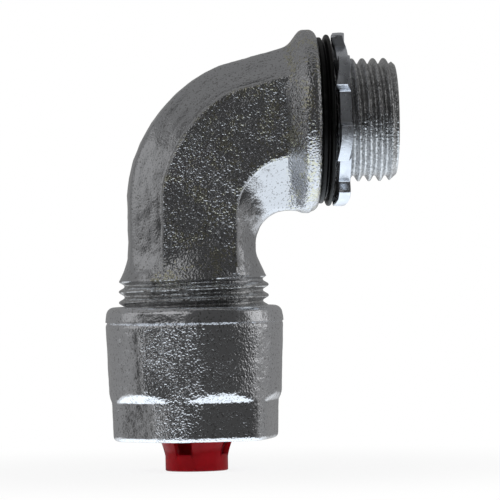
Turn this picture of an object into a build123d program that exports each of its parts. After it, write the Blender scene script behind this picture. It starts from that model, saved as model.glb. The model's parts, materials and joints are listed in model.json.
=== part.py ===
from build123d import *

import os
from math import cos, radians, sin, tan

os.makedirs("parts", exist_ok=True)

# Strain relief cord connector, 90 degrees, half inch trade size, in millimetres.
# The origin is the centre of the flange face, on the hub axis. +X runs along the hub into the box,
# and the leg with its gland hangs down along -Z. The casting is symmetric about the XZ plane.

# Threads: both ends have fourteen turns to the inch. The solids carry the crests, as plain cylinders.
hub_thread_r = 10.45
gland_thread_r = 12.7
thread_depth = 0.97
thread_clearance = 0.06

# Hub, from the flange face outwards, with its bored throat and the wider cast passage round the bend
hub_length = 13.3
hub_chamfer_long = 1.2
hub_chamfer_deep = 1.05
hub_wall = 1.58
throat_behind_face = 1.0
passage_widening = 0.4
passage_bend_r = 14.0
passage_mitres = 3
groove_width = 0.6
groove_behind_locknut = 0.05

# Sealing ring on the hub
ring_wall = 4.05
ring_thick = 2.2
ring_fit = 0.05

# Flange against the box
flange_over_ring = 0.9
flange_rim = 2.6
flange_back_slope = 55.0

# Elbow casting: heights and widths are taken from the crossing of the leg axis and the hub axis
face_to_leg = 21.3
side_flat_half = 4.4
face_half_depth = 10.2
top_slope = 15.0
end_in_flange = 1.5
leg_overlap = 3.8
face_edge_chamfer = 0.9

# Side outline of the casting
outer_leg = 10.9
outer_straight_to = -13.0
outer_bend = [(-9.75, -6.6), (-5.75, 1.5), (-0.4, 6.85)]
outer_bend_end = (6.0, 9.75)
inner_leg = 10.45
inner_hub = -15.2
inner_bend_r = 5.6

# Outline of its flat front face
front_leg = 5.6
front_straight_to = -13.4
front_bend = [(-4.5, -8.1), (-1.5, -2.0), (2.5, 2.7)]
front_bend_end = (7.6, 5.15)
front_inner_bend = (16.6, -16.2)
front_inner_bend_r = 9.8

# Gland end: the leg flares out to the thread, and the mouth takes the seal bushing
flare_top = -21.5
flare_r = 10.0
thread_top = -26.9
mouth_wall = 1.53
mouth_depth = 9.6
mouth_taper = 3.0

# Locknut, stamped, with bent lugs
locknut_over_ring = 0.3
locknut_thick = 2.0
lug_gap = 0.06
lug_bend = 0.7
lug_long = 1.95
lug_foot = 0.65
lug_count = 7
lug_first = 56.1
lug_flat_share = 0.35

# Gland nut
nut_top = -31.1
nut_height = 22.6
nut_wall = 2.29
nut_taper = 0.7
nut_lip = 0.59
nut_shoulder_drop = 1.75
nut_bottom_chamfer = 0.7
flat_half_angle = 23.5
flat_count = 6
flat_first = 15.0
flat_height = 6.6
flat_ledge_slope = 45.0
nut_throat_gap = 0.35

# Grip collet: a ring below the nut, and four fingers that open upwards inside it
collet_shows = 5.2
collet_bore_r = 4.4
collet_ring_height = 3.3
collet_ring_wall = 0.9
collet_slope = 24.0
collet_top_r = 9.6
collet_wall = 1.0
finger_count = 4
finger_first = 17.5
notch_angle = 32.0
notch_below_cone = 0.5

# Slip washer and seal bushing, hidden inside
seat_gap = 0.1
washer_thick = 1.0
washer_side_gap = 0.76
washer_over_cord = 0.8
collar_side_gap = 0.96
bushing_collar = 2.7
tightening_room = 2.24
bushing_length = 11.2
bushing_gap = 0.3

# What follows from the sizes above
touch = 0.001
hub_throat_r = hub_thread_r - thread_depth - hub_wall
passage_r = hub_throat_r + passage_widening
ring_r = hub_thread_r + ring_fit + ring_wall
flange_r = ring_r + flange_over_ring
mouth_r = gland_thread_r - thread_depth - mouth_wall
locknut_r = ring_r + locknut_over_ring
locknut_root_r = locknut_r - lug_long
locknut_bore_r = hub_thread_r + thread_clearance
locknut_back = ring_thick + lug_gap + lug_bend
locknut_face = locknut_back + locknut_thick
lug_root = locknut_root_r - lug_foot
lug_angle = 180 / lug_count
nut_bore_r = gland_thread_r + thread_clearance
nut_top_r = nut_bore_r + nut_wall
nut_bottom_r = nut_top_r - nut_taper
nut_bottom = nut_top - nut_height
nut_draft = nut_taper / (nut_height - nut_shoulder_drop)
collet_bottom = nut_bottom - collet_shows
collet_ring_r = collet_bore_r + collet_ring_wall
collet_ring_top = collet_bottom + collet_ring_height
collet_top = collet_ring_top + (collet_top_r - collet_ring_r) / tan(radians(collet_slope))
nut_step = collet_top - seat_gap
bushing_foot = collet_top + washer_thick
gland_end = bushing_foot + bushing_collar + tightening_room
leg_bottom = flare_top - leg_overlap
flange_end = face_to_leg - end_in_flange
side_plane = Plane(origin=(-face_to_leg, 0, 0), x_dir=(1, 0, 0), z_dir=(0, -1, 0))
hub_plane = Plane(origin=(0, 0, 0), x_dir=(1, 0, 0), z_dir=(0, -1, 0))
leg_axis = Axis((-face_to_leg, 0, 0), (0, 0, 1))
slope_way = (cos(radians(top_slope)), sin(radians(top_slope)))


# Distance of a wrench flat from the nut's axis at a height above its lower end. The flat leans with the
# nut's drafted side, so that it is as wide at every height.
def flat_reach(up):
    return (nut_bottom_r + nut_draft * up) * cos(radians(flat_half_angle))


# Radius of the nut's throat at a height: a gap outside the collet's cone
def throat_r(height):
    return collet_ring_r + (height - collet_ring_top) * tan(radians(collet_slope)) + nut_throat_gap


# One closed outline of the casting on a plane: up the leg, round the outer bend, along the sloping top,
# down inside the flange, and back along the inside. The outer bend is a curve through a few points, and
# the inner bend is an arc.


def casting_outline(plane, leg_out, straight_to, bend, bend_end, leg_in, inner_bend, inner_way):
    inner_start, inner_end, inner_r = inner_bend
    top_end = (flange_end, bend_end[1] + (flange_end - bend_end[0]) * tan(radians(top_slope)))
    hub_end = (flange_end, inner_end[1] + (flange_end - inner_end[0]) * inner_way[1] / inner_way[0])
    with BuildSketch(plane) as outline:
        with BuildLine():
            Line((-leg_out, leg_bottom), (-leg_out, straight_to))
            Spline([(-leg_out, straight_to), *bend, bend_end], tangents=[(0, 1), slope_way])
            Line(bend_end, top_end)
            Line(top_end, hub_end)
            Line(hub_end, inner_end)
            RadiusArc(inner_end, inner_start, -inner_r)
            Line(inner_start, (leg_in, leg_bottom))
            Line((leg_in, leg_bottom), (-leg_out, leg_bottom))
        make_face()
    return outline.sketch


def side_outline(depth):
    return casting_outline(
        side_plane.offset(depth),
        outer_leg,
        outer_straight_to,
        outer_bend,
        outer_bend_end,
        inner_leg,
        ((inner_leg, inner_hub - inner_bend_r), (inner_leg + inner_bend_r, inner_hub), inner_bend_r),
        (1, 0),
    )


def front_outline(depth):
    x, z = front_inner_bend
    r = front_inner_bend_r
    return casting_outline(
        side_plane.offset(depth),
        front_leg,
        front_straight_to,
        front_bend,
        front_bend_end,
        x - r,
        ((x - r, z), (x - r * slope_way[1], z + r * slope_way[0]), r),
        slope_way,
    )


# The long edges of the front or back face. The ends that run into the flange and the flare are left.
def face_edges(depth):
    level = edges().filter_by(lambda edge: abs(edge.bounding_box().min.Y - depth) < touch)
    level = level.filter_by(lambda edge: edge.bounding_box().size.Y < touch)
    level = level.filter_by(lambda edge: abs((edge @ 0.5).X - flange_end + face_to_leg) > touch)
    return level.filter_by(lambda edge: abs((edge @ 0.5).Z - leg_bottom) > touch)


# Elbow body: one casting. Its middle band follows the side outline, and bevels run in from there to the
# flat faces at front and back, as the two halves of a pattern do.
with BuildPart() as elbow_body:
    extrude(side_outline(0), amount=side_flat_half, both=True)
    for way in (1, -1):
        loft([side_outline(way * side_flat_half), front_outline(way * face_half_depth)], ruled=True)
    chamfer(face_edges(face_half_depth) + face_edges(-face_half_depth), face_edge_chamfer)
    # Flange: a round plate with a sloped back, and the hub with its chamfered end. One ring-shaped groove
    # beyond the locknut stands for the thread's groove, where the free thread begins.
    back = flange_rim + (flange_r - hub_thread_r) / tan(radians(flange_back_slope))
    groove_start = locknut_face + groove_behind_locknut
    with BuildSketch(hub_plane):
        with BuildLine():
            Polyline(
                (-back, 0),
                (-back, hub_thread_r),
                (-flange_rim, flange_r),
                (0, flange_r),
                (0, hub_thread_r),
                (groove_start, hub_thread_r),
                (groove_start, hub_thread_r - thread_depth),
                (groove_start + groove_width, hub_thread_r - thread_depth),
                (groove_start + groove_width, hub_thread_r),
                (hub_length - hub_chamfer_long, hub_thread_r),
                (hub_length, hub_thread_r - hub_chamfer_deep),
                (hub_length, 0),
                close=True,
            )
        make_face()
    revolve(axis=Axis.X)
    # Gland end: the flare and the thread's crests
    with BuildSketch(side_plane):
        with BuildLine():
            Polyline(
                (0, flare_top),
                (flare_r, flare_top),
                (gland_thread_r, thread_top),
                (gland_thread_r, gland_end),
                (0, gland_end),
                close=True,
            )
        make_face()
    revolve(axis=leg_axis)
    # Throat: bored from the hub's end to a little behind the flange's face
    with BuildSketch(Plane(origin=(hub_length, 0, 0), x_dir=(0, 1, 0), z_dir=(-1, 0, 0))):
        Circle(hub_throat_r)
    extrude(amount=hub_length + throat_behind_face, mode=Mode.SUBTRACT)
    # Passage: from the throat round the bend in equal mitres and down the leg to the bushing's mouth. The
    # mitres' corners lie outside the arc that the passage follows, so that its runs touch the arc.
    step = radians(90 / passage_mitres)
    corner_r = passage_bend_r / cos(step / 2)
    turns = [(corner + 0.5) * step for corner in range(passage_mitres)]
    with BuildLine(side_plane):
        Polyline(
            (face_to_leg - throat_behind_face, 0),
            *[(passage_bend_r - corner_r * sin(a), corner_r * cos(a) - passage_bend_r) for a in turns],
            (0, gland_end + mouth_depth),
        )
    with BuildSketch(Plane(origin=(-throat_behind_face, 0, 0), x_dir=(0, 1, 0), z_dir=(-1, 0, 0))):
        Circle(passage_r)
    sweep(transition=Transition.RIGHT, mode=Mode.SUBTRACT)
    with BuildSketch(side_plane):
        with BuildLine():
            Polyline(
                (0, gland_end + mouth_depth + mouth_taper),
                (passage_r, gland_end + mouth_depth + mouth_taper),
                (mouth_r, gland_end + mouth_depth),
                (mouth_r, gland_end),
                (0, gland_end),
                close=True,
            )
        make_face()
    revolve(axis=leg_axis, mode=Mode.SUBTRACT)
elbow_body.part.label = "elbow_body"
export_step(elbow_body.part, "parts/elbow_body.step")

# Sealing ring: moulded rubber
with BuildPart() as sealing_ring:
    with BuildSketch(Plane(origin=(0, 0, 0), x_dir=(0, 1, 0), z_dir=(1, 0, 0))):
        Circle(ring_r)
        Circle(hub_thread_r + ring_fit, mode=Mode.SUBTRACT)
    extrude(amount=ring_thick)
sealing_ring.part.label = "sealing_ring"
export_step(sealing_ring.part, "parts/sealing_ring.step")

# Locknut: a stamped ring. Each lug is flat over its first part, and its other end is bent to the flange.
with BuildPart() as locknut:
    with BuildSketch(hub_plane):
        with Locations(((locknut_back + locknut_face) / 2, (locknut_bore_r + locknut_root_r) / 2)):
            Rectangle(locknut_thick, locknut_root_r - locknut_bore_r)
    revolve(axis=Axis.X)
    half_lug = locknut_r * sin(radians(lug_angle / 2))
    bend_at = half_lug * (2 * lug_flat_share - 1)
    for lug in range(lug_count):
        turn = lug_first + lug * 360 / lug_count
        outward = Vector(0, -sin(radians(turn)), cos(radians(turn)))
        around = Vector(0, -cos(radians(turn)), -sin(radians(turn)))
        with BuildSketch(Plane(origin=outward * lug_root, x_dir=around, z_dir=outward)):
            with BuildLine():
                Polyline(
                    (-half_lug, locknut_back),
                    (bend_at, locknut_back),
                    (half_lug, locknut_back - lug_bend),
                    (half_lug, locknut_face - lug_bend),
                    (bend_at, locknut_face),
                    (-half_lug, locknut_face),
                    close=True,
                )
            make_face()
        extrude(amount=locknut_r - lug_root)
    with BuildSketch(Plane(origin=(ring_thick, 0, 0), x_dir=(0, 1, 0), z_dir=(1, 0, 0))):
        Circle(locknut_r)
    extrude(amount=locknut_face, mode=Mode.INTERSECT)
locknut.part.label = "locknut"
export_step(locknut.part, "parts/locknut.step")

# Gland nut: a cast cup with a sloped shoulder and six wrench flats sunk into the lower part of its side.
# Its throat follows the collet's cone up to the step that carries the washer.
with BuildPart() as gland_nut:
    with BuildSketch(side_plane):
        with BuildLine():
            Polyline(
                (throat_r(nut_bottom), nut_bottom),
                (throat_r(nut_step), nut_step),
                (nut_bore_r, nut_step),
                (nut_bore_r, nut_top),
                (nut_bore_r + nut_lip, nut_top),
                (nut_top_r, nut_top - nut_shoulder_drop),
                (nut_bottom_r, nut_bottom),
                close=True,
            )
        make_face()
        chamfer(vertices().group_by(Axis.Y)[0].sort_by(Axis.X)[-1], nut_bottom_chamfer)
    revolve(axis=leg_axis)
    # One cutter for each flat: its face leans with the side, and its upper end slopes out as the ledge
    ledge_foot = flat_reach(flat_height)
    half_flat = nut_top_r * tan(radians(flat_half_angle))
    for flat in range(flat_count):
        turn = flat_first + flat * 360 / flat_count
        outward = Vector(sin(radians(turn)), -cos(radians(turn)), 0)
        across = Vector(cos(radians(turn)), sin(radians(turn)), 0)
        start = Vector(-face_to_leg, 0, nut_bottom) + across * half_flat
        with BuildSketch(Plane(origin=start, x_dir=outward, z_dir=-across)):
            with BuildLine():
                Polyline(
                    (flat_reach(-nut_wall), -nut_wall),
                    (ledge_foot, flat_height),
                    (ledge_foot + nut_top_r, flat_height + nut_top_r * tan(radians(flat_ledge_slope))),
                    (ledge_foot + nut_top_r, -nut_wall),
                    close=True,
                )
            make_face()
        extrude(amount=2 * half_flat, mode=Mode.SUBTRACT)
gland_nut.part.label = "gland_nut"
export_step(gland_nut.part, "parts/gland_nut.step")

# Grip collet: moulded nylon, a short ring with four fingers that open upwards in the nut's throat
with BuildPart() as grip_collet:
    with BuildSketch(side_plane):
        with BuildLine():
            Polyline(
                (collet_bore_r, collet_bottom),
                (collet_bore_r, collet_ring_top),
                (collet_top_r - collet_wall, collet_top),
                (collet_top_r, collet_top),
                (collet_ring_r, collet_ring_top),
                (collet_ring_r, collet_bottom),
                close=True,
            )
        make_face()
    revolve(axis=leg_axis)
    notch_floor = collet_ring_top - notch_below_cone
    reach = 2 * collet_top_r
    half_notch = reach * tan(radians(notch_angle / 2))
    for finger in range(finger_count):
        turn = finger_first + (finger + 0.5) * 360 / finger_count
        way = Vector(sin(radians(turn)), -cos(radians(turn)), 0)
        with BuildSketch(Plane(origin=(-face_to_leg, 0, notch_floor), x_dir=way, z_dir=(0, 0, 1))):
            with BuildLine():
                Polyline((0, 0), (reach, -half_notch), (reach, half_notch), close=True)
            make_face()
        extrude(amount=collet_top - notch_floor, mode=Mode.SUBTRACT)
grip_collet.part.label = "grip_collet"
export_step(grip_collet.part, "parts/grip_collet.step")

# Slip washer: a flat steel ring on the nut's step, above the collet
with BuildPart() as slip_washer:
    with BuildSketch(Plane(origin=(-face_to_leg, 0, collet_top))):
        Circle(nut_bore_r - washer_side_gap)
        Circle(collet_bore_r + washer_over_cord, mode=Mode.SUBTRACT)
    extrude(amount=washer_thick)
slip_washer.part.label = "slip_washer"
export_step(slip_washer.part, "parts/slip_washer.step")

# Seal bushing: moulded rubber, a collar under the gland's end and a plug in its mouth
with BuildPart() as seal_bushing:
    bushing_r = mouth_r - bushing_gap
    collar_r = nut_bore_r - collar_side_gap
    with BuildSketch(side_plane):
        with BuildLine():
            Polyline(
                (collet_bore_r, bushing_foot),
                (collar_r, bushing_foot),
                (collar_r, bushing_foot + bushing_collar),
                (bushing_r, bushing_foot + bushing_collar),
                (bushing_r, bushing_foot + bushing_length),
                (collet_bore_r, bushing_foot + bushing_length),
                close=True,
            )
        make_face()
    revolve(axis=leg_axis)
seal_bushing.part.label = "seal_bushing"
export_step(seal_bushing.part, "parts/seal_bushing.step")
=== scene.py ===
import json

import bpy
import numpy as np
from mathutils import Matrix, Vector


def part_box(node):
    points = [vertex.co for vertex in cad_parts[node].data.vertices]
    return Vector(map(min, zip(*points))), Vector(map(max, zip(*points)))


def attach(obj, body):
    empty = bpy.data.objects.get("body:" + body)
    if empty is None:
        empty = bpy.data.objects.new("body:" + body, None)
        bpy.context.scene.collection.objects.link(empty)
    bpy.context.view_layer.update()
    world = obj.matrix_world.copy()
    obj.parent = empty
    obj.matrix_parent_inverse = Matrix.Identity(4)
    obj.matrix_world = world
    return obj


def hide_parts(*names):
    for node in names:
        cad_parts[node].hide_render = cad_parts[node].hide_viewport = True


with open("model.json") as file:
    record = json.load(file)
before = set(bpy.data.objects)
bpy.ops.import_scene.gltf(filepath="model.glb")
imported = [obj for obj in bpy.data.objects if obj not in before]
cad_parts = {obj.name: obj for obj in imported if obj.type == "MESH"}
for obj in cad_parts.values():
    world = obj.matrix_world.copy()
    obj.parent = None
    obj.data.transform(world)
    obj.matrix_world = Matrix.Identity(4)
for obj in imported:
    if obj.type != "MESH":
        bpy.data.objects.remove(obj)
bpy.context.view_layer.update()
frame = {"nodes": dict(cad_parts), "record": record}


# Elbow body. The real piece is one malleable iron casting, electroplated with zinc: a faceted bend with a
# flange and a hub on its box end and a flared gland end. Both ends are threaded after casting, fourteen
# turns to the inch. The surface keeps the grain of the sand mould.

def extent(node):
    """Lowest and highest corner of a solid, in millimetres."""
    low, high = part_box(node)
    return np.array(low) * 1000, np.array(high) * 1000


mounts = {mount["name"]: mount for mount in frame["record"]["mounts"]}
hub_crest = mounts["hub_thread"]["dims"]["r_mm"]
bore_r = mounts["hub_throat"]["dims"]["r_mm"]
leg_x = mounts["cord_entry"]["pos_m"][0] * 1000
elbow_low, elbow_high = extent("elbow_body")
gland_end, hub_end, flange_r = elbow_low[2], elbow_high[0], elbow_high[2]
gland_crest = 12.7
pitch, thread_deep = 25.4 / 14, 0.97
sharp_deep = pitch * np.sqrt(0.75)

around = np.linspace(-np.pi, np.pi, 288, endpoint=False)


def thread(along, angle, crest, first):
    """Radius of a right-hand thread: a triangle wave of the place along the axis plus the turn, as deep as a
    sharp 60 degree thread, with its tips rounded off by w / (1 + |w|^6)^(1/6). At angle 0 a crest lies at
    the first place."""
    turns = (along - first) / pitch + angle / (2 * np.pi)
    wave = 1 - 4 * np.abs((turns + 0.5) % 1 - 0.5)
    steep = wave * sharp_deep / thread_deep
    return crest - thread_deep / 2 * (1 - steep / (1 + np.abs(steep) ** 6) ** (1 / 6))


def joined(a, b, sharp):
    """The outer of two radii, with the corner between them filled: (a^p + b^p)^(1/p)."""
    return (a**sharp + b**sharp) ** (1 / sharp)


def trimmed(a, b, sharp):
    """The inner of two radii, with the edge between them rounded: (a^-p + b^-p)^(-1/p)."""
    return (a**-sharp + b**-sharp) ** (-1 / sharp)


# Half depth of the casting's flat faces and of the narrow bands along its outer and inner side, the height of
# the pad on each face, and the knee: its share of an inner bevel's width, and how far it stands out. The last
# line has the powers p that round the edges.
face_deep, band_deep = 10.2, 4.4
pad = 0.22
knee, knee_bulge = 0.36, 0.12
casting_edge, pad_edge, pad_foot = 34, 60, 90


def casting_section(outer, outer_face, inner, inner_face, bulge=knee_bulge):
    """Radius of the casting's cut at each angle from its outer side: the outline of two side bands, two faces
    and the bevels between them, as a power sum of the sides' distances, which rounds its edges. The inner
    bevels have a knee, and a low pad with steep sides stands on each face."""
    side, depth = np.cos(around), np.abs(np.sin(around))
    low = face_deep - pad
    near = np.maximum(side / outer, 0) ** casting_edge + np.maximum(-side / inner, 0) ** casting_edge
    near = near + (depth / low) ** casting_edge
    bent = (inner_face + (inner - inner_face) * knee + bulge, low - (low - band_deep) * knee + bulge)
    for way, corners in (
        (1, ((outer_face - pad, low), (outer, band_deep))),
        (-1, ((inner_face - pad, low), bent, (inner, band_deep))),
    ):
        for (u, v), (next_u, next_v) in zip(corners, corners[1:]):
            normal = v - next_v, next_u - u
            reach = normal[0] * u + normal[1] * v
            bevel = (way * side * normal[0] + depth * normal[1]) / reach
            near = near + np.maximum(bevel, 0) ** casting_edge
    raised = np.maximum(side / outer_face, 0) ** pad_edge + np.maximum(-side / inner_face, 0) ** pad_edge
    raised = raised + (depth / face_deep) ** pad_edge
    return joined(near ** (-1 / casting_edge), raised ** (-1 / pad_edge), pad_foot)


# The casting's outlines, measured from the crossing of the leg axis and the hub axis. The rows of its surface
# fan out from the centre of the inner bend. Its top slopes up towards the flange.
fan, fan_r = np.array([16.05, -20.8]), 5.6
face_arc, face_arc_r = np.array([16.6, -16.2]), 9.8
leg_outer, leg_face = 10.9, 5.6
leg_inner, leg_face_inner = fan[0] - fan_r, face_arc[0] - face_arc_r
hub_under = -fan[1] - fan_r
top_slope = np.radians(15)
bend_start, bend_end = (-leg_outer, -13.0), np.array([6.0, 9.75])
face_bend_start, face_bend_end = (-leg_face, -13.4), np.array([7.6, 5.15])
line_step = 0.2


def bend_curve(start, rise, end, run):
    """A cubic Bezier curve that leaves its start straight up and reaches its end along the top's slope:
    (1-t)^3 a + 3 t (1-t)^2 b + 3 t^2 (1-t) c + t^3 d."""
    way = np.array([np.cos(top_slope), np.sin(top_slope)])
    a, d = np.array(start), np.array(end)
    b, c = a + (0, rise), d - way * run
    t = np.linspace(0, 1, 160)[:, None]
    return (1 - t) ** 3 * a + 3 * t * (1 - t) ** 2 * b + 3 * t**2 * (1 - t) * c + t**3 * d


def past(point, along):
    """Height of the sloping line through a point, at a place along the hub."""
    return point[1] + (along - point[0]) * np.tan(top_slope)


def fan_reach(outline, turn):
    """Distance from the fan's centre to an outline at each angle."""
    away = outline - fan
    angle = np.arctan2(away[:, 1], away[:, 0]) % (2 * np.pi)
    order = np.argsort(angle)
    return np.interp(turn, angle[order], np.hypot(*away.T)[order])


def filled(outline, step):
    """An open outline with more points along it, so that none are further apart than the step."""
    run = np.concatenate([[0], np.cumsum(np.hypot(*np.diff(outline, axis=0).T))])
    place = np.unique(np.concatenate([run, np.arange(0, run[-1], step)]))
    return np.stack([np.interp(place, run, outline[:, k]) for k in (0, 1)], axis=1)


def with_ends(curve):
    """A curve with its straight start from below, and the sloping line on from its end."""
    start, along = (curve[0, 0], gland_end), -leg_x
    return filled(np.vstack([start, curve, [along, past(curve[-1], along)]]), line_step)


side_line = with_ends(bend_curve(bend_start, rise=10.4, end=bend_end, run=8.6))
face_line = with_ends(bend_curve(face_bend_start, rise=7.9, end=face_bend_end, run=6.5))
swing = np.linspace(np.pi, np.pi / 2 + top_slope, 60)
arc = face_arc + face_arc_r * np.stack([np.cos(swing), np.sin(swing)], axis=1)
under_line = with_ends(arc)


def rows_along_leg(z, r):
    """Points of rows across the leg: height z and radius r, with the angle taken from the outer side."""
    z = np.broadcast_to(z, r.shape)
    return np.stack([leg_x - r * np.cos(around), r * np.sin(around), z], axis=-1)


def rows_along_hub(x, r):
    """Points of rows across the hub: place x and radius r, with the angle taken from the top."""
    x = np.broadcast_to(x, r.shape)
    return np.stack([x, r * np.sin(around), r * np.cos(around)], axis=-1)


def lathed(rows_along, outline):
    """Rows of a turned form: an outline's places and radii, the same at every angle."""
    place, r = np.hsplit(np.array(outline), 2)
    return rows_along(place, r + 0 * around)


# Leg: thread, flare and the straight part of the casting. Past the place where a thread starts to run out,
# its grooves lose depth by the fade. The last one is gone before it comes round to the outer side.
thread_top, flare_top, flare_r = -26.9, -21.5, 10.0
flare_fillet, casting_foot, corner_r = 30, flare_top - 4.2, flare_r + 2.2
gland_first, gland_chamfer = -26.7, 0.9
fade = 0.9
fade_first = thread_top + 0.8 * (1 - np.cos(around))
thread_z, casting_z = np.linspace(gland_end, thread_top, 88), np.linspace(thread_top, fan[1], 34)
z = np.concatenate([thread_z, casting_z[1:]])[:, None]
blank = np.interp(z, [gland_end, gland_end + gland_chamfer, thread_top, flare_top],
                  [gland_crest - gland_chamfer, gland_crest, gland_crest, flare_r])
cut = thread(z, around, gland_crest, gland_first) + np.maximum(z - fade_first, 0) * fade
flare = np.minimum(blank, cut)
leg = np.minimum(casting_section(leg_outer, leg_face, leg_inner, leg_face_inner), corner_r)
leg_rows = rows_along_leg(z, np.where(z > casting_foot, joined(leg, flare, flare_fillet), flare))

# Bend: each row lies in a plane through the fan's centre, and its middle is this far from that centre
turn = np.linspace(np.pi, np.pi / 2, 62)[1:-1, None]
ease = (1 - np.cos(2 * (np.pi - turn))) / 2
middle = fan[0] + (-fan[1] - fan[0]) * ease
r = casting_section(
    fan_reach(side_line, turn) - middle,
    fan_reach(face_line, turn) - middle,
    middle - fan_r,
    middle - fan_reach(under_line, turn),
)
out = middle + r * np.cos(around)
bend_rows = np.stack(
    [leg_x + fan[0] + out * np.cos(turn), r * np.sin(around), fan[1] + out * np.sin(turn)], axis=-1)

# Hub end: the neck swells into the flange's sloping back, then come the rim, the face and the thread
rim_back, rim_round, back_slope = 2.7, 1.4, np.radians(55)
back_r, back_edge, back_fillet = flange_r - 0.05, 46, 28
neck_end, neck_run, neck_swell = -1.6, 2.4, 1.5
x = np.linspace(leg_x + fan[0], neck_end, 36)[:, None]
along = x - leg_x
neck_bulge = knee_bulge + neck_swell * np.clip((x - x[0]) / neck_run, 0, 1) ** 1.5
hub_casting = casting_section(
    past(bend_end, along), past(face_bend_end, along), hub_under, -past(arc[-1], along), neck_bulge)
back = trimmed(flange_r + (x + rim_back) * np.tan(back_slope), back_r, back_edge)
hub_rows = rows_along_hub(x, joined(hub_casting, back, back_fillet))

edge = np.linspace(0, np.pi / 2, 8)[1:, None]
rim = np.hstack([rim_round * np.sin(edge) - rim_round, flange_r - rim_round * (1 - np.cos(edge))])
rim_rows = lathed(rows_along_hub, rim)

hub_first, hub_fade = 7.9, 2.4
hub_chamfer, hub_chamfer_deep = 1.2, 1.05
x = np.linspace(0, hub_end, 90)[:, None]
blank = np.interp(
    x, [0, hub_end - hub_chamfer, hub_end], [hub_crest, hub_crest, hub_crest - hub_chamfer_deep])
cut = thread(x, around, hub_crest, hub_first) + np.maximum(hub_fade - x, 0) * fade
thread_rows = rows_along_hub(x, np.minimum(blank, cut))

# Passage: from the hub's rounded mouth through its throat, round the bend and down to the bushing's mouth
hub_round, hub_round_half = 0.6, 0.18
throat_end, throat_step = -1.0, 0.4
passage_r, passage_bend = bore_r + throat_step, 14.0
lip_rows = lathed(rows_along_hub, [
    (hub_end, bore_r + hub_round),
    (hub_end - hub_round_half, bore_r + hub_round_half),
    (hub_end - hub_round, bore_r),
    (throat_end, bore_r),
    (throat_end - throat_step, passage_r),
])
swing = np.linspace(np.pi / 2, np.pi, 21)[:, None]
out = passage_bend + passage_r * np.cos(around)
passage_rows = np.stack([leg_x + passage_bend + out * np.cos(swing), passage_r * np.sin(around) + 0 * swing,
                         -passage_bend + out * np.sin(swing)], axis=-1)
mouth_r, mouth_edge = 10.2, 0.5
mouth_floor, passage_foot = gland_end + 9.6, gland_end + 12.6
mouth_rows = lathed(rows_along_leg, [
    (passage_foot, passage_r),
    (mouth_floor, mouth_r),
    (gland_end + mouth_edge, mouth_r),
    (gland_end, mouth_r + mouth_edge),
])


def unevenness(points, finest, coarsest, seed, waves=40):
    """A smooth uneven field in space: a mean of sine waves of seeded directions, lengths and starts."""
    draw = np.random.default_rng(seed)
    way = draw.normal(size=(3, waves))
    way *= 2 * np.pi / (np.linalg.norm(way, axis=0) * draw.uniform(finest, coarsest, waves))
    return np.sin(points @ way + draw.uniform(0, 2 * np.pi, waves)).sum(-1) / np.sqrt(waves)


def swelled(rows, height):
    """Rows moved along their own surface's normal, which is the cross product of the grid's two slopes."""
    down, across = np.gradient(rows, axis=0), np.roll(rows, -1, axis=1) - np.roll(rows, 1, axis=1)
    normal = np.cross(down, across)
    normal /= np.linalg.norm(normal, axis=-1, keepdims=True) + 1e-12
    return rows + normal * height[..., None]


# The sand's unevenness fades out towards the thread and towards the flange's machined rim
sand_foot_run, sand_end, sand_end_run = 1.5, -1.9, 0.6
cast_rows = np.concatenate([leg_rows, bend_rows, hub_rows])
height = cast_rows[..., 2] * (cast_rows[..., 0] < leg_x + fan[0])
rough_part = np.clip((height - thread_top) / sand_foot_run, 0, 1)
rough_part = rough_part * np.clip((sand_end - cast_rows[..., 0]) / sand_end_run, 0, 1)
sand = 0.035 * unevenness(cast_rows, finest=2.2, coarsest=6.0, seed=3)
sand = sand + 0.018 * unevenness(cast_rows, finest=1.1, coarsest=2.0, seed=4)
cast_rows = swelled(cast_rows, sand * rough_part)


def piece(name, rows):
    """A mesh from a grid of rows of points in millimetres, which closes on itself both ways. Its faces are
    turned outwards by the sign of the volume that they enclose, and its creases are shaded sharp."""
    crease = np.radians(38)
    deep, wide = rows.shape[:2]
    index = np.arange(deep * wide).reshape(deep, wide)
    index = np.vstack([index, index[:1]])
    index = np.hstack([index, index[:, :1]])
    quads = np.stack([index[:-1, :-1], index[1:, :-1], index[1:, 1:], index[:-1, 1:]], axis=-1)
    quads = quads.reshape(-1, 4)
    points = rows.reshape(-1, 3) / 1000
    a, b, c, d = (points[quads[:, k]] for k in range(4))
    if (np.cross(c - a, d - b) * (a + b + c + d)).sum() < 0:
        quads = quads[:, ::-1]
    mesh = bpy.data.meshes.new(name)
    mesh.vertices.add(len(points))
    mesh.vertices.foreach_set("co", points.ravel())
    mesh.loops.add(quads.size)
    mesh.loops.foreach_set("vertex_index", quads.ravel().astype(np.int32))
    mesh.polygons.add(len(quads))
    mesh.polygons.foreach_set("loop_start", np.arange(0, quads.size, 4, dtype=np.int32))
    mesh.polygons.foreach_set("use_smooth", np.ones(len(quads), bool))
    mesh.update(calc_edges=True)
    mesh.validate()
    mesh.set_sharp_from_angle(angle=crease)
    made = bpy.data.objects.new(name, mesh)
    bpy.context.scene.collection.objects.link(made)
    return made


elbow = piece("elbow_casting", np.concatenate([
    cast_rows, rim_rows, thread_rows, lip_rows, passage_rows, mouth_rows]))


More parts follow.
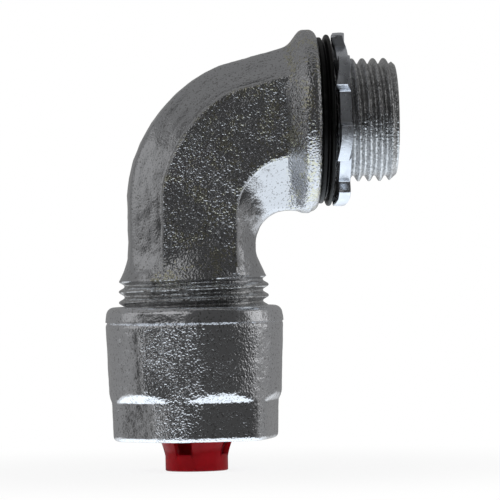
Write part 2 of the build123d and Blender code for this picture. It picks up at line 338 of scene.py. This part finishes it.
class Shade:
    """One socket of a material. Expressions on it add Math nodes, and node() adds any other kind."""

    def __init__(self, tree, socket):
        self.tree, self.socket = tree, socket

    def node(self, kind, settings=None, values=None, out=0):
        """A new node: its settings first, then the values or links of its sockets."""
        made = self.tree.nodes.new(kind)
        for key, value in (settings or {}).items():
            setattr(made, key, value)
        for key, value in (values or {}).items():
            if isinstance(value, Shade):
                self.tree.links.new(value.socket, made.inputs[key])
            else:
                made.inputs[key].default_value = value
        return Shade(self.tree, made.outputs[out])

    def outputs(self, kind, names, values=None):
        """Several outputs of one new node."""
        made = self.node(kind, None, values).socket.node
        return [Shade(self.tree, made.outputs[name]) for name in names]

    def ends(self, kind="ShaderNodeOutputMaterial"):
        """Puts this shader on a new output node."""
        self.tree.links.new(self.socket, self.tree.nodes.new(kind).inputs["Surface"])

    def math(self, operation, *values):
        """A Math node on the given values."""
        return self.node("ShaderNodeMath", {"operation": operation}, dict(enumerate(values)))

    def __add__(self, other):
        return self.math("ADD", self, other)

    def __sub__(self, other):
        return self.math("SUBTRACT", self, other)

    def __rsub__(self, other):
        return self.math("SUBTRACT", other, self)

    def __mul__(self, other):
        return self.math("MULTIPLY", self, other)

    __radd__, __rmul__ = __add__, __mul__

    def __abs__(self):
        return self.math("ABSOLUTE", self)

    def larger(self, other):
        """The larger of two values."""
        return self.math("MAXIMUM", self, other)

    def step(self, low, high):
        """0 at the first value, 1 at the second, and a smooth rise between."""
        values = {"Value": self, "From Min": low, "From Max": high}
        return self.node("ShaderNodeMapRange", {"interpolation_type": "SMOOTHSTEP"}, values)

    def step_at(self, low, high):
        """The same along an axis, between two places in millimetres."""
        return self.step(low / 1000, high / 1000)

    def noise(self, size, detail=2.0, rough=0.5):
        """Noise at a grain size in millimetres, on this vector."""
        values = {"Vector": self, "Scale": 1000 / size, "Detail": detail, "Roughness": rough}
        return self.node("ShaderNodeTexNoise", None, values)

    def mix(self, one, other):
        """A colour between two, by this value."""
        colours = [c if isinstance(c, Shade) else (*c, 1) for c in (one, other)]
        return self.node("ShaderNodeMix", {"data_type": "RGBA"}, {0: self, 6: colours[0], 7: colours[1]}, 2)

    def bumped(self, deep):
        """A normal from this value as a height of so many millimetres."""
        return self.node("ShaderNodeBump", None, {"Height": self, "Distance": deep / 1000, "Strength": 1.0})


def finish(name):
    """A new material and the Object coordinates in it."""
    material = bpy.data.materials.new(name)
    material.use_nodes = True
    tree = material.node_tree
    tree.nodes.clear()
    return material, Shade(tree, tree.nodes.new("ShaderNodeTexCoord").outputs["Object"])


def surface(place, **sockets):
    """The Principled shader of a material, with its sockets named by words joined with underscores."""
    values = {key.replace("_", " "): value for key, value in sockets.items()}
    place.node("ShaderNodeBsdfPrincipled", None, values).ends()


# Cast and plated: a sandy grain under a bright satin plate, coarse and in clumps on some parts and fine
# elsewhere. The straw tint of the passivation shows in small spots. The plate is painted darker in the
# grain's hollows, as painted shade. Cut threads are duller. Sizes and depths of the patterns are in
# millimetres, and a plate's colours are shares of its brightness.
swell_size, clump_size, spot_size = 2.6, 7.0, 3.5
swell_deep, fine_deep, coarse_deep, clump_deep = 0.05, 0.0374, 0.1105, 0.051
clean_plate, straw_plate, pit_painted_shade = np.array([(0.98, 0.99, 1.02), (1.03, 0.98, 0.62), (0.6, 0.6, 0.6)])
cut_dark, cut_light = (0.38, 0.38, 0.38), (0.62, 0.625, 0.63)


def cast_finish(name, bright, grain_size, coarse_part, tinted=0.0, dull_part=None):
    """A plated casting, for its brightness, its grain's size, a function of the place that is 1 where the
    grain is coarse, the strength of the tint, and a function that is 1 on cut threads."""
    material, place = finish(name)
    along = place.outputs("ShaderNodeSeparateXYZ", "XYZ", {0: place})
    coarse = coarse_part(*along)
    swells, grain = place.noise(swell_size), place.noise(grain_size, 1.0)
    clumps = place.noise(clump_size, 1.0).step(0.38, 0.58)
    spots = (place.noise(spot_size) * 0.5 + place.noise(grain_size * 1.3, 1.0) * 0.5).step(0.52, 0.58)
    plate = (spots * coarse * tinted).mix(bright * clean_plate, bright * straw_plate)
    # painted shade: where the grain is low, in its hollows, the plate turns to a darker colour
    plate = grain.step(0.42, 0.30).mix(plate, bright * pit_painted_shade)
    if dull_part:
        plate = dull_part(*along).mix(plate, place.noise(0.6).step(0.3, 0.7).mix(cut_dark, cut_light))
    relief = swells * swell_deep + grain * (coarse * (clumps * clump_deep + coarse_deep) + fine_deep)
    surface(place, Base_Color=plate, Metallic=1.0, Roughness=swells * 0.14 + 0.12, Normal=relief.bumped(1.0))
    return material


def cut_threads(x, y, z):
    """1 on the hub and on the gland end, and 0 on the casting between them."""
    return x.step_at(-0.3, 0.5).larger(z.step_at(thread_top + 0.1, thread_top - 0.7))


def flat_faces(x, y, z):
    """1 on the faces to the front and the back, and on the flange."""
    return abs(y).step_at(face_deep - 0.9, face_deep - 0.1).larger(x.step_at(-6.2, -5.2))


cast_zinc = cast_finish("cast_zinc", 0.57, 0.36, flat_faces, tinted=0.5, dull_part=cut_threads)
elbow.data.materials.append(cast_zinc)
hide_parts("elbow_body")
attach(elbow, "elbow")


# Sealing ring. The real piece is a moulded black rubber ring with two lips. It sits on the hub against the
# flange, and the locknut squeezes it onto the box.

def rounded(corners, steps=5):
    """A closed outline of corners, each with its radius. A parabola that starts the radius away on each side
    takes the corner off: (1-t)^2 start + 2 t (1-t) corner + t^2 end."""
    here, radius = corners[:, :2], corners[:, 2:]
    ways = [np.roll(here, shift, axis=0) - here for shift in (1, -1)]
    start, end = (here + way / np.linalg.norm(way, axis=1, keepdims=True) * radius for way in ways)
    t = np.linspace(0, 1, steps)[:, None, None]
    curve = (1 - t) ** 2 * start + 2 * t * (1 - t) * here + t**2 * end
    return curve.transpose(1, 0, 2).reshape(-1, 2)


ring_high = extent("sealing_ring")[1]
ring_r, ring_thick = ring_high[2], ring_high[0]
ring_bore, groove_r, flange_lip_r = hub_crest + 0.05, ring_r - 1.3, ring_r - 0.45
ring_gap = 0.02
ring_back, ring_front = ring_gap, ring_thick - ring_gap
flange_lip_end, groove_start, groove_end, front_lip_start = 0.85, 1.05, 1.35, 1.55
ring_outline = rounded(np.array([
    (ring_back, ring_bore, 0.1),
    (ring_back, flange_lip_r, 0.38),
    (flange_lip_end, flange_lip_r, 0.3),
    (groove_start, groove_r, 0.12),
    (groove_end, groove_r, 0.12),
    (front_lip_start, ring_r, 0.3),
    (ring_front, ring_r, 0.38),
    (ring_front, ring_bore, 0.1),
]))
ring = piece("sealing_ring_rubber", lathed(rows_along_hub, ring_outline))

black_rubber, place = finish("black_rubber")
dust = place.noise(1.8, 4.0, 0.6)
surface(
    place,
    Base_Color=dust.step(0.5, 0.75).mix((0.002, 0.002, 0.002), (0.008, 0.008, 0.008)),
    Roughness=dust * 0.3 + 0.22,
    Specular_IOR_Level=0.16,
    Normal=place.noise(0.5).bumped(0.05),
)
ring.data.materials.append(black_rubber)
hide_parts("sealing_ring")
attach(ring, "ring_carrier")


# Locknut. The real piece is stamped from thick steel strip and bright zinc plated, with seven lugs round its
# rim. One end of each lug is bent back so that it bites into the box. It screws onto the hub.

nut_low, nut_high = extent("locknut")
lock_face, lock_thick = nut_high[0], 2.0
lock_back = lock_face - lock_thick
lug_r, lug_high = 14.85, 1.95
root_r = lug_r - lug_high
lug_count, lug_first, lug_edge = 7, np.radians(56.1), 40
lug_half = np.pi / lug_count / 2
lug_bend, bend_before, bend_curl = lock_back - nut_low[0], 0.3, 1.3
lean_first, lean_run = root_r - 0.7, 1.1
lock_clear, bore_edge, bore_inset = 0.08, 0.5, 0.1
lock_bore = hub_crest + lock_clear


def from_nearest(angle, first, count):
    """Angle from the nearest of so many even places round an axis, the first of which is given."""
    return (angle - first + np.pi / count) % (2 * np.pi / count) - np.pi / count


spread = np.linspace(-np.pi, np.pi, 1008, endpoint=False)
from_lug = from_nearest(spread, -lug_first, lug_count) / lug_half
on_lug = 1 / (1 + np.abs(from_lug) ** lug_edge)
bent = np.clip((bend_before - from_lug) / (1 + bend_before), 0, 1) ** bend_curl * on_lug
lug_rim = root_r + lug_high * on_lug
to_rim = np.array([0, 0.12, 0.3, 0.55, 0.8, 0.93, 1.0])[:, None]


def locknut_side(x, inset):
    """Points of one face of the locknut, from its bore to its rim: the lugs lean back by their bend, which
    grows from the root circle outwards."""
    first = lock_bore + bore_edge
    r = first + (lug_rim - inset - first) * to_rim
    lean = np.clip((r - lean_first) / lean_run, 0, 1)
    return np.stack([x - lug_bend * bent * lean, r * np.sin(spread), r * np.cos(spread)], axis=-1)


x = np.linspace(lock_back + bore_inset, lock_face - bore_inset, 14)[:, None]
r = thread(x, spread, hub_crest, hub_first) + lock_clear
bore_rows = np.stack([x + 0 * spread, r * np.sin(spread), r * np.cos(spread)], axis=-1)
edge_round, edge_cut = 0.22, 0.066
lock_middle = lock_back + lock_thick / 2
rim_places = ((lock_face - edge_cut, edge_cut), (lock_middle + lock_thick / 4, 0), (lock_middle, 0),
              (lock_back + edge_cut, edge_cut))
locknut = piece("locknut_stamping", np.concatenate([
    bore_rows,
    locknut_side(lock_face, edge_round),
    *[locknut_side(place, inset)[-1:] for place, inset in rim_places],
    locknut_side(lock_back, edge_round)[::-1],
]))

bright_zinc, place = finish("bright_zinc")
smear = place.noise(3.0, 3.0).step(0.4, 0.65)
surface(
    place,
    Base_Color=smear.mix((0.70, 0.73, 0.78), (0.60, 0.62, 0.66)),
    Metallic=1.0,
    Roughness=place.noise(0.8, 3.0) * 0.18 + 0.2,
    Normal=(place.noise(1.6, 3.0) * 0.7 + place.noise(0.3) * 0.15).bumped(0.12),
)
locknut.data.materials.append(bright_zinc)
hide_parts("locknut")
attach(locknut, "locknut")


# Gland nut. The real piece is a cast and plated cup with six wrench flats sunk into the lower part of its
# side. It screws up the gland thread and squeezes the bushing and the grip onto the cord.

cup_low, cup_high = extent("gland_nut")
cup_bottom, cup_top, cup_r = cup_low[2], cup_high[2], cup_high[1]
side_lean, lean_high = 0.7, 20.85
foot_r, foot_round = cup_r - side_lean, 0.85
crown_r, crown_round = cup_r - 0.12, 1.4
flat_count, flat_first, flat_half = 6, np.radians(15), np.radians(23.5)
flat_top, flat_edge = cup_bottom + 6.6, 70
wall_step = 0.22

# The mould's joint left a ridge. The groove under it is uneven, and deepest at this angle.
ridge = cup_top - 2.6
groove_first = np.radians(-65)
groove_deep, groove_uneven, groove_high = 0.22, 0.15, 0.42


def from_front(angle):
    """The angle round the leg axis from the front, for an angle from the outer side."""
    return np.arctan2(-np.cos(angle), -np.sin(angle))


turn = np.linspace(0, np.pi / 2, 8)
off_side, off_end = 1 - np.sin(turn), 1 - np.cos(turn)
foot = np.stack([foot_r - foot_round * off_side, cup_bottom + foot_round * off_end], axis=1)
crown = np.stack([crown_r - crown_round * off_end, cup_top - crown_round * off_side], axis=1)
side = np.array([(cup_r - 0.02, ridge - 0.35), (cup_r, ridge), (cup_r, ridge + 0.25)])
r, z = np.hsplit(filled(np.vstack([foot, side, crown]), wall_step), 2)
side_r = foot_r + side_lean / lean_high * (np.minimum(z, flat_top) - cup_bottom)
foot_in = foot_round * (1 - np.sqrt(1 - np.clip(1 - (z - cup_bottom) / foot_round, 0, 1) ** 2))
from_flat = from_nearest(from_front(around), flat_first, flat_count)
flats = (side_r * np.cos(flat_half) - foot_in + np.maximum(z - flat_top, 0)) / np.cos(from_flat)
groove = (groove_deep + groove_uneven * np.cos(around - groove_first)) * (z < ridge)
groove = groove * np.exp(-(((ridge - z) / groove_high) ** 2))
wall_rows = rows_along_leg(z, trimmed(r - groove, flats, flat_edge))

# The nut's sand fades out towards both ends, and its highest swells are cut down
sand_top, sand_run, sand_most = cup_top - 0.3, 0.8, 0.06
rough_part = np.clip((z - cup_bottom) / sand_run, 0, 1) * np.clip((sand_top - z) / sand_run, 0, 1)
sand = 0.022 * unevenness(wall_rows, finest=2.2, coarsest=6.0, seed=8)
sand = sand + 0.014 * unevenness(wall_rows, finest=1.0, coarsest=1.9, seed=9)
wall_rows = swelled(wall_rows, np.minimum(sand, sand_most) * rough_part)

# Inside: the thread from the lip down to the step, and the throat, which follows the collet's cone at a gap
collet_low, collet_high = extent("grip_collet")
collet_bottom, collet_top = collet_low[2], collet_high[2]
collet_ring_r, ring_top = 5.3, collet_bottom + 3.3
collet_slope, throat_gap = np.tan(np.radians(24)), 0.35
nut_step = collet_top - 0.1
nut_clear, lip_clear, lip_deep, step_corner = 0.1, 0.62, 0.5, 0.4
step_throat_r, foot_throat_r = (
    collet_ring_r + throat_gap + (np.array([nut_step, cup_bottom]) - ring_top) * collet_slope)
z = np.linspace(cup_top - lip_deep, nut_step + step_corner, 96)[:, None]
gland_nut = piece("gland_nut_casting", np.concatenate([
    wall_rows,
    lathed(rows_along_leg, [(cup_top, gland_crest + lip_clear)]),
    rows_along_leg(z, thread(z, around, gland_crest, gland_first) + nut_clear),
    lathed(rows_along_leg, [(nut_step, gland_crest), (nut_step, step_throat_r), (cup_bottom, foot_throat_r)]),
]))


def nut_front(x, y, z):
    """1 on the front and the back of the nut below its ridge, where the sand was coarser, and about half on
    the side towards the hub."""
    front = abs(y).step_at(10.8, 11.6) * z.step_at(ridge + 0.3, ridge - 0.3)
    return front * (x.step_at(leg_x + 1.5, leg_x - 0.5) * 0.45 + 0.55)


gland_nut.data.materials.append(cast_finish("coarse_cast_zinc", 0.74, 0.38, nut_front))
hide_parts("gland_nut")
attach(gland_nut, "gland_nut")


# Grip collet. The real piece is moulded in red nylon: a short ring with four fingers that open out into the
# nut's throat. The nut's taper presses the fingers onto the cord.

grip_r, finger_thick, collet_round = 4.4, 1.0, 0.14
finger_count, finger_first = 4, np.radians(17.5)
notch_floor, notch_half, notch_edge = ring_top - 0.5, np.radians(16), 60
finger_r = collet_ring_r + (collet_top - ring_top) * collet_slope

spread = np.linspace(-np.pi, np.pi, 720, endpoint=False)
from_notch = from_nearest(from_front(spread), finger_first + np.pi / finger_count, finger_count)
open_share = 1 / (1 + (np.abs(from_notch) / notch_half) ** notch_edge)
top = collet_top - (collet_top - notch_floor) * open_share
z = collet_bottom + (top - collet_bottom) * np.linspace(0, 1, 30)[:, None]
bends = [collet_bottom, ring_top, collet_top]
outer = np.interp(z, bends, [collet_ring_r, collet_ring_r, finger_r])
inner = np.interp(z, bends, [grip_r, grip_r, finger_r - finger_thick])


def collet_rows(z, r):
    """Points round the leg axis at heights and radii that change with the angle."""
    return np.stack([leg_x - r * np.cos(spread), r * np.sin(spread), z], axis=-1)


side_z = np.maximum(z, collet_bottom + collet_round)
collet = piece("grip_collet_moulding", np.concatenate([
    collet_rows(z[:1], inner[:1] + collet_round),
    collet_rows(z[:1], outer[:1] - collet_round),
    collet_rows(side_z, outer)[:-1],
    collet_rows(z[-1:] - collet_round, outer[-1:]),
    collet_rows(z[-1:], outer[-1:] - collet_round),
    collet_rows(z[-1:], inner[-1:] + collet_round),
    collet_rows(z[-1:] - collet_round, inner[-1:]),
    collet_rows(side_z, inner)[-2::-1],
]))

red_nylon, place = finish("red_nylon")
surface(
    place,
    Base_Color=place.noise(4.0).step(0.35, 0.65).mix((0.32, 0.0, 0.004), (0.40, 0.0, 0.006)),
    Roughness=place.noise(0.9, 3.0) * 0.2 + 0.26,
    Specular_IOR_Level=0.2,
    Normal=place.noise(1.2, 3.0).bumped(0.06),
    Subsurface_Weight=0.35,
    Subsurface_Radius=(0.003, 0.0002, 0.0003),
    Subsurface_Scale=1.0,
)
collet.data.materials.append(red_nylon)
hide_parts("grip_collet")
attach(collet, "gland_stack")


# Slip washer and seal bushing. The real pieces are a plated steel washer and a black rubber bushing. They lie
# hidden between the nut's step and the gland's mouth, so their solids stay as they are.

for name, material in (("slip_washer", bright_zinc), ("seal_bushing", black_rubber)):
    mesh = frame["nodes"][name].data
    mesh.materials.clear()
    mesh.materials.append(material)


# Table and studio. The object stands on a white table top against white. The metal mirrors a room instead:
# pale walls to the sides and behind the object, a dark side behind the camera with a window high up on the
# left, and the bright table below. The table top is open to glossy rays, so that they see that room.

table_z = collet_bottom / 1000
table_half, table_front = 3.0, -0.2
table = bpy.data.meshes.new("table_top")
table.from_pydata(
    [(-table_half, table_front, table_z), (table_half, table_front, table_z),
     (table_half, table_half, table_z), (-table_half, table_half, table_z)], [], [(0, 1, 2, 3)])
floor = bpy.data.objects.new("table_top", table)
bpy.context.scene.collection.objects.link(floor)

ray_kinds = ("Is Camera Ray", "Is Glossy Ray", "Is Transmission Ray")
shadow_reach, shadow_core, shadow_share = 0.1, 0.03, 0.16
white_top, place = finish("white_table")
seen, glossy, through = place.outputs("ShaderNodeLightPath", ray_kinds)
foot_of_leg = (leg_x / 1000, 0, table_z)
away = place.node("ShaderNodeVectorMath", {"operation": "DISTANCE"}, {0: place, 1: foot_of_leg}, 1)
shown = seen.larger(through) * (1 - away.step(shadow_reach, shadow_core) * shadow_share)
lit = place.node("ShaderNodeBsdfDiffuse", None, {"Color": (0.9, 0.9, 0.9, 1)})
glow = place.node("ShaderNodeEmission", None, {"Color": (1, 1, 1, 1), "Strength": 1.0})
open_below = place.node("ShaderNodeBsdfTransparent")
table_look = place.node("ShaderNodeMixShader", None, {0: shown, 1: lit, 2: glow})
place.node("ShaderNodeMixShader", None, {0: glossy, 1: table_look, 2: open_below}).ends()
floor.data.materials.append(white_top)

# The room by direction, with soft borders between its parts. What is matt sees an even light instead, and the
# camera sees white.
wall_bright, window_bright, table_bright, room_bright = 0.2, 0.45, 1.35, 0.06
even_bright = 0.75
cool_white = (0.86, 0.93, 1.0)
world = bpy.data.worlds.new("studio")
world.use_nodes = True
bpy.context.scene.world = world
tree = world.node_tree
tree.nodes.clear()
sky = Shade(tree, tree.nodes.new("ShaderNodeTexCoord").outputs["Generated"])
right, back, up = sky.outputs("ShaderNodeSeparateXYZ", "XYZ", {0: sky})
walls = back.step(-0.14, -0.02)
window = back.step(-0.2, -0.3) * up.step(0.2, 0.4) * right.step(-0.12, -0.32)
table_behind = back.step(0.05, 0.35) * up.step(-0.14, -0.3) * 0.5
table_seen = (up + right.step(0.1, 0.4) * 0.08).step(-0.44, -0.54).larger(table_behind)
room = walls * wall_bright + window * window_bright + table_seen * table_bright + room_bright
seen, glossy, through = sky.outputs("ShaderNodeLightPath", ray_kinds)
white = seen.larger(through)
strength = white + (1 - white) * (glossy * room + (1 - glossy) * even_bright)
colour = table_seen.mix((1, 1, 1), cool_white)
sky.node("ShaderNodeBackground", None, {"Color": colour, "Strength": strength}).ends("ShaderNodeOutputWorld")


# Camera: far off with a long lens, a little to the left of square on, and rolled by a degree. It is aimed so
# that the leg axis and the hub axis lie where the photograph has them, at its scale.
pixel, image_side = 1 / 5.9, 500
leg_pixel, hub_pixel = 193.0, 121.5
distance = 0.75
swing, roll = np.radians(-4.0), np.radians(1.0)
aim = Vector((
    (image_side / 2 - leg_pixel) * pixel + leg_x, 0, (hub_pixel - image_side / 2) * pixel)) / 1000
camera = bpy.data.cameras.new("camera")
camera.sensor_width = 36.0
camera.lens = camera.sensor_width * distance / (image_side * pixel / 1000)
eye = bpy.data.objects.new("camera", camera)
away = Vector((np.sin(swing), -np.cos(swing), 0))
eye.location = aim + away * distance
facing = (-away).to_track_quat("-Z", "Y").to_matrix().to_4x4()
eye.rotation_euler = (facing @ Matrix.Rotation(-roll, 4, "Z")).to_euler()
bpy.context.scene.collection.objects.link(eye)
bpy.context.scene.camera = eye


def softbox(name, place, watts, size=0.35):
    """A square lamp that faces the camera's aim."""
    lamp = bpy.data.lights.new(name, "AREA")
    lamp.shape, lamp.size, lamp.energy = "SQUARE", size, watts
    made = bpy.data.objects.new(name, lamp)
    made.location = place
    made.rotation_euler = (aim - Vector(place)).to_track_quat("-Z", "Y").to_euler()
    bpy.context.scene.collection.objects.link(made)


softbox("left lamp", (-0.6, 0.02, 0.16), watts=0.08)
softbox("right lamp", (0.6, -0.05, 0.12), watts=0.2)
bpy.context.scene.view_settings.view_transform = "Standard"
